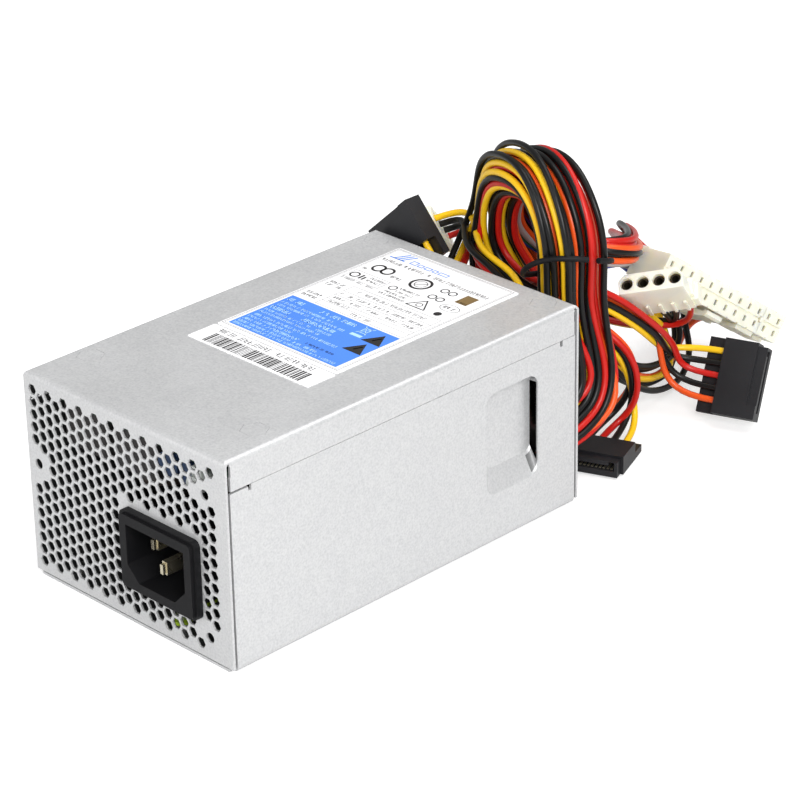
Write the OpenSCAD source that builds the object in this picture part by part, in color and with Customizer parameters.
// Compact switch-mode power supply unit with its output harness.
// +Z is up, +Y points at the cable end, and the origin is the centre of the case's bottom face.

/* [Case] */
// Width of the case, side to side
case_w = 85; // [85:0.5:88]
// Height of the case
case_h = 65; // [65:0.5:67]
// Length of the case, inlet end to cable end
case_l = 140; // [140:1:146]
// Thickness of the sheet steel
sheet = 0.8; // [0.7:0.05:0.9]
// Outside radius of the bent edges
bend_r = 1.6; // [1.2:0.1:2]
// Height of the flange that laps down each side
flange_h = 9.2; // [8:0.1:10]

/* [Vents] */
// Distance between neighbouring vent holes
vent_pitch = 3.94; // [3.9:0.01:4.2]
// Width of a vent hole across its flats
vent_w = 3.1; // [2.6:0.1:3.2]
// Radius of a mounting screw hole
mount_hole_r = 1.6; // [1.4:0.05:1.8]

/* [Mains inlet] */
// Centre of the inlet across the case
inlet_x = 15.2; // [14:0.1:16]
// Centre of the inlet above the bottom face
inlet_z = 25; // [24:0.1:26]
// How far the inlet's bezel stands proud of the panel
bezel_t = 3.2; // [2.5:0.1:3.5]

/* [Fan] */
// Side of the square fan frame
fan_side = 80; // [80:0.5:80.5]
// Depth of the fan frame
fan_depth = 20; // [20:0.5:21]
// Number of fan blades
fan_blades = 7; // [5:1:9]
// Radial clearance of the shaft in its bearing
shaft_gap = 0.03; // [0.02:0.01:0.06]

/* [Harness] */
// Contact pitch of the mainboard plug
atx_pitch = 4.2; // [4.2:0.05:4.25]
// Contact pitch of the drive plug
drive_pitch = 5.08; // [5:0.01:5.1]
// Radius of the bore in the cable bushing
bushing_r = 9.5; // [9.5:0.1:9.8]

/* [Hidden] */
$fn = 48;

steel = "silver";
dark_plastic = "#222226";
nylon = "#efe9d2";
copper = "#b8672f";
board_green = "#2f6b3c";

half_w = case_w / 2;
half_l = case_l / 2;
inner_w = half_w - sheet;
inner_l = half_l - sheet;
plate_z = case_h - sheet;
panel_foot = 1.2;
seam_gap = 0.25;
wall_top = case_h - flange_h - 0.15;
flange_inset = 0.15;

// Vent grid
vent_dx = vent_pitch * sin(60);
vent_columns = 23;
vent_x0 = -38.9;
vent_top = case_h - 4.9;
mount_holes = [[-38.2, 36.7], [33.8, 52.6], [33.3, 8]];
mount_clear = 4.7;
bezel_w = 31.4;
bezel_h = 24.6;

// Fan
fan_x = -1.3;
fan_y = 8;
fan_z = sheet + 0.1;
fan_screw = 35.75;
fan_bore = 38;
hub_r = 16;
shaft_r = 1.5;

// Board
board_t = 1.6;
board_z = 57.4;
standoffs = [[-36, -50.5], [33.1, -50.4], [-35.8, 64], [34, 63.9]];

// Cable exit
exit_x = 27;
exit_z = 20;

// Plug positions: [place, turn] of each plug's own frame, where X runs along the
// contacts, Y points at the mating face and Z is the plug's top side.
atx_place = [[23, 160.7, 30.8], [15.5, -35, -116]];
drive_places = [[[27.5, 119.5, 52], [133, -13, 33]], [[-52.9, 86.8, 50.7], [-30, 43.6, 111.5]]];
sata_places = [[[31, 141.5, 14], [0, 57, -69.6]], [[24.5, 102.5, 4.2], [0, 0, 202]], [[-27, 74.2, 54], [90, -42, 0]]];

// Middle line of the whole harness, from the bushing up, over and down
harness_spine = [
    [27, 67, 20], [27, 79, 20], [27, 89, 28], [21.5, 88.5, 53.5], [22.5, 86, 76], [10.5, 88.5, 90.5],
    [-10, 95.5, 85], [-18.5, 100.5, 66.5]
];
harness_spread = 1.2;
// Place of each cable in the harness: [angle, distance] from the middle line
atx_slot = [-45, 4.3];
drive_slots = [[45, 6.95], [135, 6.95]];
sata_slots = [[180, 6.95], [225, 6.95], [90, 6.95]];
atx_r = 5;
drive_r = 2.4;
sata_r = 2.5;
// Where each cable goes once it leaves the harness, ending at the back of its plug
atx_tail = [
    [-15, 114, 56.5], [-3, 113.5, 55], [13, 108, 60], [16, 119, 58], [2, 135, 51], [-14, 149, 43],
    [-14, 167, 27], [-6, 169.8, 24], [4.8, 166.4, 26.6]
];
drive_tail_front = [[-25, 110, 54], [-15, 114, 42], [2, 126, 30], [13, 141, 26], [21, 141, 30], [23.4, 131.1, 39.5]];
drive_tail_back = [[-20, 91, 52], [-5, 83, 42.5], [8, 81.5, 49], [5, 81, 58], [-30, 91, 60], [-41, 98, 57]];
sata_tail_right = [
    [-14, 96.5, 54], [0, 97, 47.5], [12, 102, 49], [19, 110, 45], [24, 127, 30], [25, 139.3, 14.6], [31, 141.5, 14]
];
sata_tail_low = [
    [-10, 103, 52], [2, 104, 39], [16, 106, 37], [26, 112, 27], [26, 112.5, 12], [22.3, 108.3, 4.6], [24.5, 102.5, 4.2]
];
sata_tail_left = [[-30, 95, 53], [-30, 84, 37], [-22, 75, 36], [-20, 74.2, 45.5], [-27, 74.2, 54]];
// Tie round the harness: its centre, tilt and radius
tie_at = [22, 87.5, 65];
tie_turn = [-11, -24, 0];
tie_r = 13.6;
tie_wire_r = 0.9;

// ---------------------------------------------------------------- helpers

// Inverted U of bent sheet, its top at y = 0
module bent_u(span, drop, t, r) {
    difference() {
        round_top(span, drop, r);
        translate([0, -t]) round_top(span - 2 * t, drop, r - t);
    }
}

// Rectangle below y = 0 with its two top corners rounded
module round_top(span, drop, r) {
    translate([-span / 2, -drop]) square([span, drop - r]);
    translate([-span / 2 + r, -drop]) square([span - 2 * r, drop]);
    for (s = [-1, 1]) translate([s * (span / 2 - r), -r]) circle(r);
}

// Rectangle centred on the origin with four rounded corners
module round_rect(w, h, r) {
    square([w - 2 * r, h], center = true);
    square([w, h - 2 * r], center = true);
    for (sx = [-1, 1], sy = [-1, 1]) translate([sx * (w / 2 - r), sy * (h / 2 - r)]) circle(r);
}

// Turns an outline so that its x runs along Y and its y along Z, centred on X
module along_x(length) {
    rotate([90, 0, 90]) linear_extrude(length, center = true) children();
}

// Turns an outline so that its x runs along X and its y along Z, centred on Y
module along_y(length) {
    rotate([90, 0, 0]) linear_extrude(length, center = true) children();
}

// Puts a plug's own frame where it lies
module placed(place) {
    translate(place[0]) rotate(place[1]) children();
}

function unit(v) = v / norm(v);
function heading(route, i) = unit(route[min(i + 1, len(route) - 1)] - route[max(i - 1, 0)]);
// A side vector turned square to a direction, so that rings follow one another without twisting
function squared(side, dir) = unit(side - (side * dir) * dir);
function ring_sides(route) = [
    for (
        i = 0, side = squared([1, 0.1, 0.1], heading(route, 0));
        i < len(route);
        i = i + 1, side = i < len(route) ? squared(side, heading(route, i)) : side
    ) side
];
function ring_point(centre, dir, side, r, a) = centre + r * (cos(a) * side + sin(a) * cross(dir, side));

// Tube of radius r swept along a route, as one closed polyhedron
module swept(route, r, sides) {
    n = len(route);
    side = ring_sides(route);
    points = [
        for (i = [0:n - 1], k = [0:sides - 1])
            ring_point(route[i], heading(route, i), side[i], r, 360 * k / sides)
    ];
    walls = [
        for (i = [0:n - 2], k = [0:sides - 1])
            let (a = i * sides + k, b = i * sides + (k + 1) % sides)
            each [[a, a + sides, b], [b, a + sides, b + sides]]
    ];
    near_cap = [for (k = [0:sides - 1]) k];
    far_cap = [for (k = [sides - 1:-1:0]) (n - 1) * sides + k];
    polyhedron(points, concat(walls, [near_cap, far_cap]), convexity = 6);
}

// Route of one cable: beside the harness's middle line first, then along its own tail
function cable_route(slot, tail) =
    let (sides = ring_sides(harness_spine))
    concat([
        for (i = [0:len(harness_spine) - 1])
            let (dir = heading(harness_spine, i), reach = slot[1] * (i < 2 ? 1 : harness_spread))
                harness_spine[i]
                    + reach * (cos(slot[0]) * sides[i] - sin(slot[0]) * cross(dir, sides[i]))
    ], tail);

// ---------------------------------------------------------------- case

function vent_rows(column) = column % 2 == 0 ? 15 : 14;
function vent_at(column, row) =
    [vent_x0 + column * vent_dx, vent_top - vent_pitch * (row + (column % 2) / 2)];
function near_mount(p) = min([for (m = mount_holes) norm(p - m)]) < mount_clear;
function near_inlet(p) =
    abs(p.x - inlet_x) < bezel_w / 2 + 1.6 && abs(p.y - inlet_z) < bezel_h / 2 + 1.6;

module vent_field() {
    for (c = [0:vent_columns - 1], k = [0:vent_rows(c) - 1])
        let (p = vent_at(c, k))
            if (!near_mount(p) && !near_inlet(p)) translate(p) circle(vent_w / 2 / cos(30), $fn = 6);
}

module chassis() {
    relief_h = 3.4;
    color(steel) difference() {
        intersection() {
            union() {
                translate([0, 0, case_h]) along_x(case_w) bent_u(case_l, case_h - panel_foot, sheet, bend_r);
                translate([0, 0, case_h]) along_y(case_l - 2 * bend_r - 2 * seam_gap)
                    bent_u(case_w, flange_h, sheet, bend_r);
                for (s = [-1, 1]) translate([0, s * (half_l - sheet - 4), panel_foot + sheet / 2])
                    cube([2 * inner_w - 4, 8.2, sheet], center = true);
            }
            translate([0, 0, case_h]) along_y(case_l) round_top(case_w, case_h, bend_r);
        }
        // Vents, mounting holes and the inlet's cut-out
        translate([0, -half_l + 2, 0]) rotate([90, 0, 0]) linear_extrude(4) vent_field();
        for (m = mount_holes)
            translate([m.x, -half_l + 4, m.y]) rotate([90, 0, 0]) cylinder(r = mount_hole_r, h = 8);
        translate([inlet_x, -half_l + sheet / 2, inlet_z]) cube([27.6, 4, 20.2], center = true);
        // Cable exit
        translate([exit_x, half_l - 4, exit_z]) rotate([-90, 0, 0]) cylinder(r = bushing_r + 1.2, h = 8);
        // Seats of the clinched standoffs
        for (p = standoffs) translate([p.x, p.y, plate_z - 1]) cylinder(r = 4.3, h = 3, $fn = 6);
        // Screws that hold the cover
        for (sx = [-1, 1], sy = [-1, 1])
            translate([sx * 30, sy * 64, 0]) cylinder(r = 1.25, h = 4);
        // Corner reliefs
        for (sx = [-1, 1], sy = [-1, 1])
            translate([sx * half_w, sy * (half_l - bend_r), case_h - bend_r - relief_h / 2])
                cube([2.4, 0.9, relief_h], center = true);
    }
}

// Pressed pocket in the right wall, between two rounded outlines
module pocket_form(grow) {
    hull() {
        translate([half_w, 41.5, 32.5]) rotate([90, 0, 90])
            linear_extrude(0.02) round_rect(22 + grow, 33 + grow, 4, $fn = 32);
        translate([half_w - 3.4 - grow / 2, 43.2, 35]) rotate([90, 0, 90])
            linear_extrude(0.02) round_rect(18.8 + grow, 24.4 + grow, 2.6, $fn = 32);
    }
}

module cover() {
    wall_l = case_l - 2 * sheet - 2 * seam_gap - 1;
    tab_w = 0.8;
    step = sheet + flange_inset;
    color(steel) difference() {
        union() {
            // Base and the two side walls, with rounded bends
            mirror([0, 0, 1]) along_y(wall_l) bent_u(case_w, wall_top, sheet, bend_r);
            translate([0, 0, sheet / 2]) cube([case_w - 2 * bend_r - 1, case_l - 0.2, sheet], center = true);
            // Joggled tabs that go up behind the chassis flanges
            for (s = [-1, 1]) mirror([s < 0 ? 1 : 0, 0, 0]) along_y(118) polygon([
                [half_w, wall_top - 1.6], [half_w, wall_top - 1], [half_w - step, wall_top + 0.4],
                [half_w - step, wall_top + 6], [half_w - step - tab_w, wall_top + 6],
                [half_w - step - tab_w, wall_top], [half_w - sheet, wall_top - 1.6]
            ]);
            intersection() {
                pocket_form(1.6);
                translate([half_w - 10, 0, 0]) cube([10, half_l, case_h]);
            }
        }
        // The wall's top edge is lower ahead of the front tab and behind the back one
        for (sx = [-1, 1]) translate([sx * half_w, -half_l + 4.3, wall_top])
            cube([4, 8.6, 1], center = true);
        for (sx = [-1, 1], y = [-61.3, 62.5]) translate([sx * half_w, y, wall_top - 0.6])
            cube([5, 1.1, 2.2], center = true);
        pocket_form(0);
        // Slit behind the pocket's rear edge
        translate([half_w - 6, 52.4, 18.5]) cube([6 - sheet, 2.6, 28.2]);
        // Fan grille: ring slots between four spokes
        translate([fan_x, fan_y, -1]) linear_extrude(3) grille_slots();
        for (sx = [-1, 1], sy = [-1, 1]) {
            translate([fan_x + sx * fan_screw, fan_y + sy * fan_screw, -0.01]) countersink(2.4);
            translate([sx * 30, sy * 64, -0.01]) countersink(1.7);
        }
    }
}

module countersink(r) {
    cylinder(r = r, h = 4);
    cylinder(r1 = 3.3, r2 = r, h = 0.75);
}

module grille_slots() {
    slot = 4.2;
    rib = 1.9;
    rings = 6;
    first = 3.3;
    difference() {
        for (k = [0:rings - 1]) difference() {
            circle(first + k * (slot + rib) + slot);
            circle(first + k * (slot + rib));
        }
        for (a = [45, 135]) rotate(a) square([2.2, 90], center = true);
    }
}

module cover_screws() {
    color("dimgray") for (sx = [-1, 1], sy = [-1, 1]) translate([sx * 30, sy * 64, 0.05]) difference() {
        union() {
            cylinder(r1 = 3.1, r2 = 1.4, h = 0.72);
            cylinder(r = 1.22, h = 5);
        }
        cross_recess(3.2);
    }
}

module cross_recess(w) {
    for (a = [0, 90]) rotate(a) translate([0, 0, -0.1]) cube([w, 0.6, 1.1], center = true);
}

// ---------------------------------------------------------------- mains inlet

// Socket outline: two bottom corners cut off, x across, y up
module socket_outline(grow) {
    w = 12.1 + grow;
    h = 8.6 + grow;
    cut = 4.6;
    polygon([[-w, h], [-w, -h + cut], [-w + cut, -h], [w - cut, -h], [w, -h + cut], [w, h]]);
}

module inlet_housing() {
    depth = 19;
    color(dark_plastic) translate([inlet_x, -half_l, inlet_z]) rotate([90, 0, 0]) difference() {
        union() {
            linear_extrude(bezel_t - 1) round_rect(bezel_w, bezel_h, 2);
            linear_extrude(bezel_t) round_rect(bezel_w - 1.6, bezel_h - 1.6, 1.6);
            translate([0, 0, -depth]) linear_extrude(depth + 1) round_rect(27.2, 19.8, 1.5);
            // Snap tongues behind the panel
            for (s = [-1, 1]) translate([s * 13.9, 0, -sheet - 2.4]) cube([1.2, 7, 4], center = true);
        }
        translate([0, 0, -depth + 2.4]) linear_extrude(depth + 8) socket_outline(0);
        for (p = pin_places) translate([p.x, p.y, -depth - 1]) linear_extrude(5) square([2.1, 4.1], center = true);
    }
}

pin_places = [[-7, 2], [7, 2], [0, -2]];

module inlet_pins() {
    back = 24;
    color("#c9c2ae") translate([inlet_x, -half_l, inlet_z]) rotate([90, 0, 0])
        for (k = [0:2]) translate([pin_places[k].x, pin_places[k].y, -back])
            pin_blade(back + (k == 2 ? 1 : -2));
}

// Flat pin blade with a slimmer tip
module pin_blade(length) {
    translate([-1, -2, 0]) cube([2, 4, length - 1.2]);
    translate([-0.6, -1.5, length - 1.3]) cube([1.2, 3, 1.3]);
}

// Lead that leaves a pin, turns up and goes to the board
module riser(place, reach, top) {
    r = 1.2;
    elbow = 4;
    translate(place) {
        rotate([-90, 0, 0]) cylinder(r = r, h = reach);
        translate([0, reach, elbow]) rotate([90, 0, 90]) rotate([0, 0, -90])
            rotate_extrude(angle = 90) translate([elbow, 0]) circle(r);
        translate([0, reach + elbow, elbow]) cylinder(r = r, h = top - place.z - elbow);
    }
}

module mains_leads() {
    pin_back = -half_l + 24.05;
    for (k = [0:1]) color(k == 0 ? "#3a3430" : "#e8e4dc")
        riser([inlet_x + pin_places[k].x, pin_back, inlet_z + pin_places[k].y], 3 + 2 * k, board_z - 0.05);
}

// Green and yellow lead from the earth pin to the screw on the front panel's foot
module earth_lead() {
    color("#a8c020") {
        translate([inlet_x, -half_l + 24.05, inlet_z - 2]) {
            rotate([-90, 0, 0]) cylinder(r = 1.2, h = 2);
            translate([0, 2, -4]) rotate([90, 0, 90]) rotate_extrude(angle = 90) translate([4, 0]) circle(1.2);
            translate([0, 6, -13]) cylinder(r = 1.2, h = 9);
            translate([0, 2, -13]) rotate([90, 0, 90]) rotate([0, 0, -90])
                rotate_extrude(angle = 90) translate([4, 0]) circle(1.2);
            translate([0, 2, -17]) rotate([90, 0, 0]) cylinder(r = 1.2, h = 13);
        }
        translate([inlet_x, -half_l + 5.4, 4.05]) difference() {
            cylinder(r = 3, h = 0.9);
            translate([0, 0, -1]) cylinder(r = 1.6, h = 3);
        }
        translate([inlet_x, -half_l + 12.5, 5.1]) rotate([90, 0, 0]) cylinder(r = 1.5, h = 3);
        translate([inlet_x - 1.5, -half_l + 8, 4.05]) cube([3, 5, 0.9]);
    }
}

module earth_screw() {
    color("gainsboro") translate([inlet_x, -half_l + 5.4, panel_foot + sheet + 0.05]) {
        cylinder(r = 3.2, h = 1.9, $fn = 6);
        translate([0, 0, 1.85]) cylinder(r = 1.5, h = 3.4);
    }
}

// ---------------------------------------------------------------- labels and bushing

module rating_label() {
    color("white") translate([-0.6, 26.2, case_h + 0.06])
        linear_extrude(0.1, center = true) round_rect(50.4, 75.3, 1);
}

module serial_label() {
    color("whitesmoke") translate([-0.4, -17.4, case_h + 0.06])
        linear_extrude(0.1, center = true) round_rect(50.8, 11, 0.6);
}

module cable_bushing() {
    lip = 3;
    t = 2.2;
    color(dark_plastic) translate([exit_x, half_l, exit_z]) rotate([-90, 0, 0]) rotate_extrude()
        translate([bushing_r, 0]) polygon([
            [0, -sheet - t], [lip - 0.6, -sheet - t], [lip, -sheet - t + 0.6], [lip, -sheet - 0.05],
            [1.15, -sheet - 0.05], [1.15, 0.05], [lip, 0.05], [lip, t - 0.6], [lip - 0.6, t], [0, t]
        ]);
}

// The bundle from the board's output pads to the bushing
module output_leads() {
    r = 6.6;
    turn = 8;
    color("#2a2a2a") translate([exit_x, half_l - 3.1, exit_z]) {
        rotate([90, 0, 0]) cylinder(r = r, h = 2);
        translate([0, -2, turn]) rotate([90, 0, 90]) rotate([0, 0, 180])
            rotate_extrude(angle = 90) translate([turn, 0]) circle(r);
        translate([0, -2 - turn, turn]) cylinder(r = r, h = board_z - exit_z - turn - 0.05);
    }
}

// ---------------------------------------------------------------- fan

module fan_frame() {
    flange = 4;
    wall = 1.4;
    base_t = 1.8;
    color(dark_plastic) translate([fan_x, fan_y, fan_z]) {
        difference() {
            union() {
                for (z = [0, fan_depth - flange]) translate([0, 0, z])
                    linear_extrude(flange) round_rect(fan_side, fan_side, 4);
                cylinder(r = fan_bore + wall, h = fan_depth);
            }
            translate([0, 0, -1]) cylinder(r = fan_bore, h = fan_depth + 2);
            for (sx = [-1, 1], sy = [-1, 1]) translate([sx * fan_screw, sy * fan_screw, -1])
                cylinder(r = 2.15, h = fan_depth + 2);
        }
        difference() {
            union() {
                translate([0, 0, fan_depth - base_t]) cylinder(r = 15, h = base_t);
                for (a = [20:90:290]) rotate(a)
                    translate([13, -2.2, fan_depth - base_t]) cube([fan_bore - 12.2, 4.4, base_t]);
                translate([0, 0, 7]) cylinder(r = 3, h = fan_depth - 7);
            }
            translate([0, 0, 6]) cylinder(r = 2.3, h = fan_depth);
        }
    }
}

module fan_bearing() {
    color("#b08d57") translate([fan_x, fan_y, fan_z + 8]) difference() {
        cylinder(r = 2.25, h = 10);
        translate([0, 0, -1]) cylinder(r = shaft_r + shaft_gap, h = 12);
    }
}

module fan_stator() {
    color(copper) translate([fan_x, fan_y, fan_z + 9.5]) difference() {
        union() {
            cylinder(r = 6, h = 7);
            for (a = [0:90:270]) rotate(a) translate([4, -2.5, 1]) cube([7, 5, 5]);
            translate([0, 0, 2.5]) intersection() {
                cylinder(r = 12, h = 2);
                for (a = [0, 90]) rotate(a) cube([30, 13, 8], center = true);
            }
        }
        translate([0, 0, -1]) cylinder(r = 3.05, h = 10);
    }
}

module fan_impeller() {
    cup_z = 2.6;
    cup_h = 15;
    blade_h = 13;
    tip_r = 36.6;
    color("#303034") translate([fan_x, fan_y, fan_z + cup_z]) {
        difference() {
            union() {
                cylinder(r = hub_r - 1, h = 1);
                translate([0, 0, 0.8]) cylinder(r = hub_r, h = cup_h - 0.8);
            }
            translate([0, 0, 1.8]) cylinder(r = hub_r - 1.4, h = cup_h);
        }
        difference() {
            cylinder(r = 3, h = 4.2);
            translate([0, 0, 1.8]) cylinder(r = shaft_r, h = 4);
        }
        intersection() {
            for (k = [0:fan_blades - 1]) rotate(k * 360 / fan_blades) translate([0, 0, 1])
                linear_extrude(blade_h, twist = 34, slices = 4) fan_blade_outline(tip_r + 2);
            difference() {
                cylinder(r = tip_r, h = cup_h);
                translate([0, 0, -1]) cylinder(r = hub_r - 0.7, h = cup_h + 2);
            }
        }
    }
}

// Swept band from the hub to the tip, 1.5 mm thick
module fan_blade_outline(reach) {
    steps = 4;
    start = hub_r - 1.2;
    function spine(i) = let (r = start + (reach - start) * i / steps, a = 16 * i / steps) [r * cos(a), r * sin(a)];
    near = [for (i = [0:steps]) spine(i) + [0.3, -0.75]];
    far = [for (i = [steps:-1:0]) spine(i) + [-0.3, 0.75]];
    polygon(concat(near, far));
}

module fan_magnet() {
    color("#55504a") translate([fan_x, fan_y, fan_z + 6]) difference() {
        cylinder(r = hub_r - 1.42, h = 10.5);
        translate([0, 0, -1]) cylinder(r = 12.6, h = 13);
    }
}

module fan_shaft() {
    color("lightgray") translate([fan_x, fan_y, fan_z + 4.4]) cylinder(r = shaft_r, h = 13.4);
}

module fan_screws() {
    color("dimgray") for (sx = [-1, 1], sy = [-1, 1])
        translate([fan_x + sx * fan_screw, fan_y + sy * fan_screw, 0.05]) difference() {
            union() {
                cylinder(r1 = 3.1, r2 = 2.1, h = 0.72);
                cylinder(r = 2.1, h = 7);
            }
            cross_recess(3.4);
        }
}

// Two leads from the fan frame's edge up to their plug on the board
module fan_lead() {
    for (k = [0:1]) color(k == 0 ? "#1c1c1e" : "#b3201c")
        translate([fan_x - fan_side / 2 + 3.3, fan_y - fan_side / 2 - 1 - 1.8 * k, fan_z + 4])
            cylinder(r = 0.7, h = board_z - fan_z - 4 - 7.1);
}

module fan_plug() {
    color(nylon) translate([-40.3, fan_y - fan_side / 2 - 4.9, board_z - 7]) cube([5, 6, 6.95]);
}

// ---------------------------------------------------------------- board

module insulation_sheet() {
    color("#e9e4c8") difference() {
        translate([-38.5, -64, plate_z - 0.45]) cube([77, 130, 0.35]);
        for (p = standoffs) translate([p.x, p.y, plate_z - 2]) cylinder(r = 4.2, h = 4);
    }
}

module main_pcb() {
    color(board_green) difference() {
        translate([-39.5, -65, board_z]) cube([79, 132.5, board_t]);
        for (p = standoffs) translate([p.x, p.y, board_z - 1]) cylinder(r = 1.7, h = board_t + 2);
    }
}

// Hex standoffs clinched flush into the top plate
module pcb_standoffs() {
    foot = board_z + board_t + 0.02;
    color("#d0d0cc") for (p = standoffs) translate([p.x, p.y, 0]) difference() {
        union() {
            translate([0, 0, foot]) cylinder(r = 3, h = plate_z - foot, $fn = 6);
            translate([0, 0, plate_z - 0.02]) cylinder(r = 4.2, h = sheet, $fn = 6);
        }
        translate([0, 0, foot - 1]) cylinder(r = 1.25, h = 5);
    }
}

module pcb_screws() {
    color("lightgray") for (p = standoffs) translate([p.x, p.y, board_z - 0.02]) {
        cylinder(r = 1.2, h = 5);
        translate([0, 0, -2.2]) difference() {
            cylinder(r = 2.9, h = 2.2);
            translate([0, 0, 0.3]) cross_recess(3.4);
        }
    }
}

// Can capacitor that hangs from the board, vent end down
module can(r, h) {
    translate([0, 0, board_z - h]) {
        cylinder(r1 = r - 0.5, r2 = r, h = 0.5);
        translate([0, 0, 0.5]) cylinder(r = r, h = h - 3.5);
        translate([0, 0, h - 3.1]) cylinder(r = r - 0.5, h = 1);
        translate([0, 0, h - 2.2]) cylinder(r = r, h = 2.15);
    }
}

module bulk_capacitor() {
    color("#26262c") translate([-24, -34, 0]) can(11, 31);
}

module output_capacitors() {
    places = [[-12, 58, 5, 22], [-1, 59, 5, 22], [9, 58, 5, 24], [12, 44, 4, 18], [34, 35, 4, 18], [35.6, 24, 4, 16]];
    color("#5a4420") for (p = places) translate([p[0], p[1], 0]) can(p[2], p[3]);
}

module filter_capacitors() {
    color("#c9a227") for (p = [[-26, -58], [-4, -58]])
        translate([p.x, p.y, board_z - 15 / 2 - 0.05]) linear_extrude(15, center = true) round_rect(18, 8.5, 0.8);
}

module safety_capacitors() {
    color("#3d6fb0") for (p = [[10, -61], [18.9, -61], [36, -38]])
        translate([p.x, p.y, board_z - 7]) {
            rotate([90, 0, 0]) cylinder(r = 4, h = 3, center = true);
            for (s = [-1, 1]) translate([s * 2.4, 0, 0]) cylinder(r = 0.3, h = 6.9);
        }
}

// Toroid core standing on edge, its axis along X
module ring_core(r_out, r_in, w) {
    rotate([0, 90, 0]) rotate_extrude() translate([r_in, -w / 2]) square([r_out - r_in, w]);
}

// One side's worth of turns round a ring core: separate loops of wire
module ring_winding(r_out, r_in, w, wire, turns, a0, a1) {
    mid = (r_out + r_in) / 2;
    reach = (r_out - r_in) / 2 + wire / 2 + 0.05;
    half = w / 2 + wire / 2 + 0.05;
    for (k = [0:turns - 1]) rotate([a0 + (a1 - a0) * k / (turns - 1), 0, 0]) translate([0, 0, mid])
        rotate([90, 0, 0]) linear_extrude(wire, center = true) difference() {
            round_rect(2 * half + wire, 2 * reach + wire, wire);
            round_rect(2 * half - wire, 2 * reach - wire, wire / 4);
        }
}

choke_at = [0.5, -40, 44];
boost_at = [25, -21.5, 43.2];
output_at = [-4, 40, 45.4];

module choke_core() {
    color("#3b3b3f") translate(choke_at) ring_core(9.5, 5, 9);
}

module choke_winding() {
    color("#c4622a") translate(choke_at) {
        ring_winding(9.5, 5, 9, 1.1, 8, 25, 155);
        ring_winding(9.5, 5, 9, 1.1, 8, 205, 335);
    }
}

module boost_core() {
    color("#50602e") translate(boost_at) ring_core(12, 6.5, 11);
}

module boost_winding() {
    color(copper) translate(boost_at) ring_winding(12, 6.5, 11, 1.2, 26, 8, 352);
}

module output_core() {
    color("#d8c832") translate(output_at) ring_core(10, 5.2, 10);
}

module output_winding() {
    color("#a8481e") translate(output_at) ring_winding(10, 5.2, 10, 1.2, 18, 9, 351);
}

module fuse_holder() {
    place = [27.4, -58, board_z - 5];
    color("#d9d9d4") translate(place) {
        rotate([90, 0, 0]) cylinder(r = 2.4, h = 14, center = true);
        for (s = [-1, 1]) {
            translate([0, s * 8, 0]) rotate([90, 0, 0]) cylinder(r = 2.8, h = 5, center = true);
            translate([-2, s * 8 - 1, 0]) cube([4, 2, 4.95]);
        }
    }
}

module bridge_rectifier() {
    color("#2b2b2b") translate([-9.8, -30, board_z - 22]) {
        cube([3.8, 22, 17]);
        for (k = [0:3]) translate([1.4, 2.5 + 5.3 * k, 17]) cube([1, 1.2, 4.95]);
    }
}

// Extruded heatsink: a plate along Y with fins at its foot
module heatsink(length, height) {
    fins = 4;
    rotate([90, 0, 0]) linear_extrude(length, center = true) union() {
        translate([-1.5, -height]) square([3, height]);
        for (k = [0:fins - 1]) translate([-4.5, -height + 3.2 * k]) square([9, 1.4]);
    }
}

module primary_heatsink() {
    color("#b9bcc0") translate([-17, 4, board_z - 0.05]) heatsink(44, 30);
}

module secondary_heatsink() {
    color("#b9bcc0") translate([27, 22, board_z - 0.05]) heatsink(44, 30);
}

// Power transistor, its tab flat on a heatsink plate at x = 0
module transistor(w) {
    h = 15;
    cube([4.4, w, h]);
    for (k = [0:2]) translate([2, w / 2 - 0.6 + (k - 1) * 2.5, h]) cube([0.6, 1.2, 2.6]);
}

module primary_transistors() {
    color("#1f1f22") for (y = [-14, 3, 17]) translate([-15.45, y, board_z - 17.65]) transistor(10);
}

module secondary_diodes() {
    color("#1f1f22") for (y = [4, 19, 33]) translate([25.45 - 4.4, y, board_z - 17.65]) transistor(10);
}

module transformer_core() {
    color("#2e2c2e") translate([2, 10, board_z - 26]) difference() {
        translate([-13, -8, 0]) cube([26, 16, 22]);
        translate([-9.4, -9, 4.4]) cube([18.8, 18, 13.2]);
    }
}

module transformer_winding() {
    color("#e6c34a") translate([2, 10, board_z - 21.5]) linear_extrude(13) round_rect(18.6, 24, 4);
}

module standby_transformer() {
    color("#4a4a2a") translate([-29, 42, board_z - 17]) {
        translate([-8, -6, 0]) cube([16, 12, 14]);
        translate([-6, -8.5, 2]) cube([12, 17, 10]);
        for (sx = [-1, 1], k = [-2:2]) translate([sx * 6.5, k * 2.6, 14]) cylinder(r = 0.35, h = 2.95);
    }
}

module control_board() {
    color("#356e44") translate([-34, -12, board_z - 24]) {
        cube([1.6, 34, 23.95]);
        for (p = [[4, 5, 9, 6], [18, 4, 10, 8], [6, 14, 6, 4], [20, 15, 7, 4]])
            translate([1.6, p[0], p[1]]) cube([1.4, p[2], p[3]]);
    }
}

// ---------------------------------------------------------------- plugs

atx_count = 12;
atx_depth = 19.6;
atx_half = atx_pitch / 2 + 2.7;
atx_len = atx_count * atx_pitch + 1.2;
latch_y = -9;
latch_z = -6.4;

// Place of contact column k along the mainboard plug
function atx_x(k) = (k - (atx_count - 1) / 2) * atx_pitch;

module atx_cell(k, row) {
    place = [atx_x(k), 0, row * atx_pitch / 2];
    translate([place.x, 0.5, place.z]) rotate([90, 0, 0]) linear_extrude(8) square([0.9, 1.9], center = true);
    translate([place.x, -atx_depth + 6, place.z]) rotate([90, 0, 0]) cylinder(r = 1.5, h = 10);
}

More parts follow.
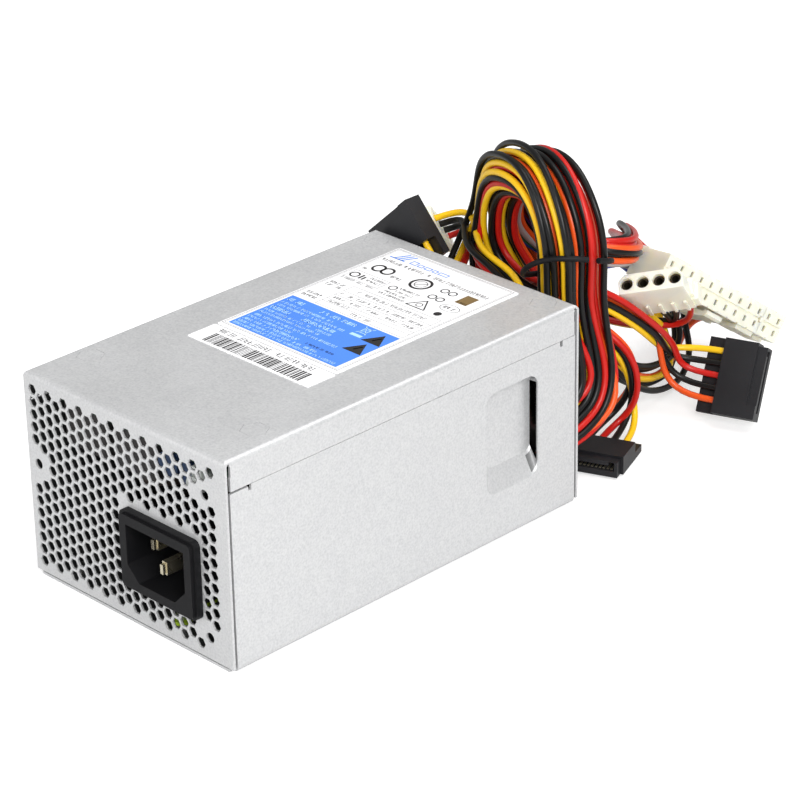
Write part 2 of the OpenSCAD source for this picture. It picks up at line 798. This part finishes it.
// Block of contact columns from first to last
module atx_block(first, last) {
    x0 = atx_x(first) - atx_pitch / 2 + 0.05;
    x1 = atx_x(last) + atx_pitch / 2 - 0.05;
    difference() {
        union() {
            translate([x0, -atx_depth, -atx_half]) cube([x1 - x0, atx_depth, 2 * atx_half]);
            // Wider skirt round the wire end
            translate([x0, -atx_depth, -atx_half - 0.5]) cube([x1 - x0, 6, 2 * atx_half + 1]);
        }
        for (k = [first:last], row = [-1, 1]) atx_cell(k, row);
        // Shallow groove between the two rows of the mating face
        translate([x0 - 1, -0.5, -0.35]) cube([x1 - x0 + 2, 1, 0.7]);
        for (k = [first:last - 1], s = [-1, 1])
            translate([atx_x(k) + atx_pitch / 2 - 0.25, -5, s > 0 ? atx_half - 0.4 : -atx_half - 0.6])
                cube([0.5, 6, 1]);
    }
}

module atx_housing() {
    color(nylon) placed(atx_place) {
        difference() {
            atx_block(2, atx_count - 1);
            translate([atx_x(2) - atx_pitch / 2 - 1, -12, -1]) cube([2, 13, 2]);
        }
        // Ears that carry the latch
        difference() {
            for (s = [-1, 1]) translate([s * 4.1 - 0.6, latch_y - 1.4, -atx_half - 3.2])
                cube([1.2, 2.8, 3.4]);
            translate([-6, latch_y, latch_z]) rotate([0, 90, 0]) cylinder(r = 0.75, h = 12);
        }
        // Guide ribs beside the latch
        translate([-16.4, -13, -atx_half - 1.5]) cube([7, 12, 1.6]);
        translate([8.5, -13, -atx_half - 1.5]) cube([1.4, 12, 1.6]);
    }
}

// Four-way block that slides off the end of the mainboard plug
module atx_side_block() {
    color(nylon) placed(atx_place) {
        atx_block(0, 1);
        translate([atx_x(1) + atx_pitch / 2 - 0.2, -11.5, -0.8]) cube([0.9, 12, 1.6]);
        translate([atx_x(0) - 0.5, -14, -atx_half - 1.2]) cube([4, 9, 1.3]);
    }
}

module atx_terminals() {
    color("#cfc6a8") placed(atx_place) for (k = [0:atx_count - 1], row = [-1, 1])
        translate([atx_x(k), -0.9, row * atx_pitch / 2]) rotate([90, 0, 0])
            linear_extrude(6.5) square([0.7, 1.7], center = true);
}

module atx_latch() {
    w = 6.4;
    color(nylon) placed(atx_place) {
        translate([0, latch_y, latch_z]) rotate([0, 90, 0]) cylinder(r = 0.7, h = 9, center = true);
        rotate([90, 0, 90]) linear_extrude(w, center = true) polygon([
            [-18.2, latch_z - 1.6], [-16.5, latch_z - 2], [-1.2, latch_z - 1.1], [-0.4, latch_z - 0.3],
            [-0.6, latch_z + 1], [-2.2, latch_z + 1], [-3, latch_z + 0.4],
            [latch_y, latch_z + 0.5], [-17.6, latch_z - 0.6]
        ]);
    }
}

drive_count = 4;
drive_depth = 17.5;

function drive_x(k) = (k - (drive_count - 1) / 2) * drive_pitch;

// Four-way drive plug with two cut corners
module drive_housing() {
    w = 20.4;
    t = 6.5;
    difference() {
        union() {
            rotate([90, 0, 0]) linear_extrude(drive_depth) polygon([
                [-w / 2, -t / 2 + 2], [-w / 2 + 2, -t / 2], [w / 2 - 2, -t / 2], [w / 2, -t / 2 + 2],
                [w / 2, t / 2], [-w / 2, t / 2]
            ]);
            // Grip flange round the wire end, with its side steps
            translate([-w / 2 - 1.8, -drive_depth, -t / 2]) cube([w + 3.6, 5.5, t - 0.6]);
            translate([-w / 2 - 0.9, -drive_depth + 5, -t / 2]) cube([w + 1.8, 3.4, t - 1.2]);
            for (k = [0:4]) translate([-8 + 4 * k - 0.5, -drive_depth, t / 2 - 0.1]) cube([1, 6.5, 0.7]);
        }
        for (k = [0:drive_count - 1]) translate([drive_x(k), 1, 0]) rotate([90, 0, 0]) {
            cylinder(r = 2, h = 8);
            translate([0, 0, drive_depth - 6]) cylinder(r = 1.7, h = 10);
        }
    }
}

module drive_housings() {
    color(nylon) for (p = drive_places) placed(p) drive_housing();
}

module drive_terminals() {
    color("#c8b98a") for (p = drive_places) placed(p) for (k = [0:drive_count - 1])
        translate([drive_x(k), -1.2, 0]) rotate([90, 0, 0]) difference() {
            cylinder(r = 1.75, h = 5.6);
            translate([0, 0, -1]) cylinder(r = 1.15, h = 5.6);
        }
}

sata_w = 24.4;
sata_depth = 20;
sata_t = 6;

// Slim drive plug: a wire shelf, a thick body and an L-keyed slot in the mating face
module sata_housing() {
    shelf = 6;
    difference() {
        union() {
            translate([-sata_w / 2, 0, -3.6]) cube([sata_w, shelf + 1, 2.4]);
            translate([-sata_w / 2, shelf, -3.6]) cube([sata_w, sata_depth - shelf - 3, sata_t]);
            translate([-sata_w / 2 + 1, sata_depth - 3.2, -3.6]) cube([sata_w - 2, 3.2, sata_t - 0.8]);
            translate([sata_w / 2 - 4.5, sata_depth - 3.2, -3.6]) cube([4.5, 3.2, sata_t]);
        }
        translate([-sata_w / 2 + 2, sata_depth - 7, -1.6]) cube([sata_w - 4.4, 8, 1.8]);
        translate([-sata_w / 2 + 2, sata_depth - 7, -1.6]) cube([1.8, 8, 3]);
        for (k = [-2:2]) translate([4 * k, shelf - 1, 0]) rotate([-90, 0, 0]) cylinder(r = 1.15, h = 5);
    }
}

module sata_housings() {
    color(dark_plastic) for (p = sata_places) placed(p) sata_housing();
}

module sata_contacts() {
    color("#c8a24a") for (p = sata_places) placed(p) for (k = [0:14])
        translate([-sata_w / 2 + 2.8 + 1.27 * k, sata_depth - 6.5, -1.55]) cube([0.7, 5.5, 0.35]);
}

// ---------------------------------------------------------------- harness

module atx_cable() {
    color("#7a1d14") swept(cable_route(atx_slot, atx_tail), atx_r, 10);
}

module drive_cable_front() {
    color("#d8b020") swept(cable_route(drive_slots[0], drive_tail_front), drive_r, 8);
}

module drive_cable_back() {
    color("#d8b020") swept(cable_route(drive_slots[1], drive_tail_back), drive_r, 8);
}

module sata_cable_right() {
    color("#c8401c") swept(cable_route(sata_slots[0], sata_tail_right), sata_r, 8);
}

module sata_cable_low() {
    color("#d8681c") swept(cable_route(sata_slots[1], sata_tail_low), sata_r, 8);
}

module sata_cable_left() {
    color("#1d1d1f") swept(cable_route(sata_slots[2], sata_tail_left), sata_r, 8);
}

module harness_tie() {
    color("#161618") translate(tie_at) rotate(tie_turn) rotate_extrude(angle = 345) translate([tie_r, 0])
        circle(tie_wire_r);
}

chassis();
cover();
cover_screws();
inlet_housing();
inlet_pins();
mains_leads();
earth_lead();
earth_screw();
rating_label();
serial_label();
cable_bushing();
output_leads();
fan_frame();
fan_bearing();
fan_stator();
fan_screws();
fan_lead();
fan_plug();
fan_impeller();
fan_magnet();
fan_shaft();
insulation_sheet();
main_pcb();
pcb_standoffs();
pcb_screws();
bulk_capacitor();
filter_capacitors();
safety_capacitors();
choke_core();
choke_winding();
fuse_holder();
bridge_rectifier();
primary_heatsink();
primary_transistors();
boost_core();
boost_winding();
transformer_core();
transformer_winding();
standby_transformer();
secondary_heatsink();
secondary_diodes();
output_core();
output_winding();
output_capacitors();
control_board();
atx_housing();
atx_side_block();
atx_terminals();
atx_latch();
drive_housings();
drive_terminals();
sata_housings();
sata_contacts();
atx_cable();
drive_cable_front();
drive_cable_back();
sata_cable_right();
sata_cable_low();
sata_cable_left();
harness_tie();
